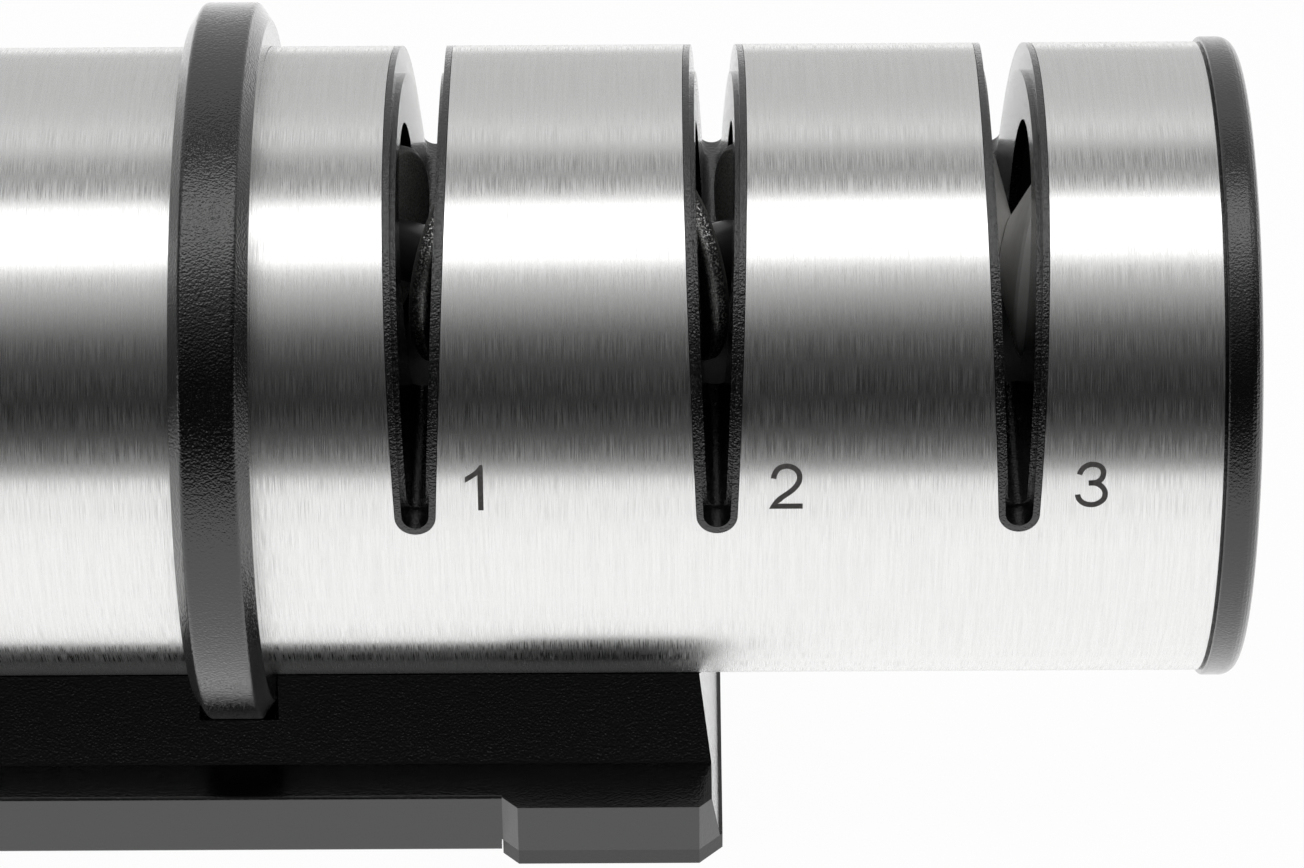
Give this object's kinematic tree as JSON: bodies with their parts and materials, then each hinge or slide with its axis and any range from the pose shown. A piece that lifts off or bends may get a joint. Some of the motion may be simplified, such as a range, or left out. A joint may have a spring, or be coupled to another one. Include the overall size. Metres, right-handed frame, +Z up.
{
  "type": "pull-through knife sharpener",
  "caption": "Bench knife sharpener: a steel tube lying in a moulded base, with tapered slots over skewed pairs of turning diamond and ceramic wheels.",
  "frame": {"origin": "middle of the area that the feet cover on the table, under the middle of the tube", "axes": "+X along the tube from the handle end to the slots, +Y away from the user and +Z up"},
  "size_m": [0.2, 0.0582, 0.0615],
  "materials": {
    "tube_steel": "satin stainless steel, brushed round the tube",
    "grained_plastic": "moulded with a fine leather grain",
    "base_plastic": "moulded with a fine leather grain",
    "liner_plastic": "fine moulded texture",
    "core_plastic": "plain moulded",
    "hub_plastic": "smooth bearing plastic",
    "coarse_diamond": "coarse diamond grit plated onto steel",
    "medium_diamond": "medium diamond grit plated onto steel",
    "white_ceramic": "fine matt ceramic",
    "pin_steel": "ground steel",
    "screw_steel": "zinc-plated steel",
    "foot_rubber": "matt rubber"
  },
  "bodies": {
    "sharpener_body": {"tube_shell": "tube_steel", "slot_liner_1": "liner_plastic", "slot_liner_2": "liner_plastic", "slot_liner_3": "liner_plastic", "coarse_axle": "pin_steel", "medium_axle": "pin_steel", "fine_axle": "pin_steel", "core_front_half": "core_plastic", "core_rear_half": "core_plastic", "core_screws": "screw_steel", "collar_ring": "grained_plastic", "left_end_cap": "grained_plastic", "right_end_cap": "grained_plastic", "handle_clamp_block": "core_plastic", "base_cradle": "base_plastic", "base_screws": "screw_steel", "left_foot_pad": "foot_rubber", "right_foot_pad": "foot_rubber"},
    "coarse_pair": {"coarse_wheel_left": "coarse_diamond", "coarse_wheel_right": "coarse_diamond", "coarse_hub": "hub_plastic"},
    "medium_pair": {"medium_wheel_left": "medium_diamond", "medium_wheel_right": "medium_diamond", "medium_hub": "hub_plastic"},
    "fine_pair": {"fine_wheel_left": "white_ceramic", "fine_wheel_right": "white_ceramic", "fine_hub": "hub_plastic"}
  },
  "joints": [
    {"name": "coarse_pair_spin", "type": "hinge", "parent": "sharpener_body", "child": "coarse_pair", "pos_m": [0.0345, 0, 0.0431], "axis": [0.9205, -0.3907, 0], "continuous": true},
    {"name": "medium_pair_spin", "type": "hinge", "parent": "sharpener_body", "child": "medium_pair", "pos_m": [0.0578, 0, 0.0431], "axis": [0.9205, 0.3907, 0], "continuous": true},
    {"name": "fine_pair_spin", "type": "hinge", "parent": "sharpener_body", "child": "fine_pair", "pos_m": [0.0811, 0, 0.0431], "axis": [0.9659, -0.2588, 0], "continuous": true}
  ]
}
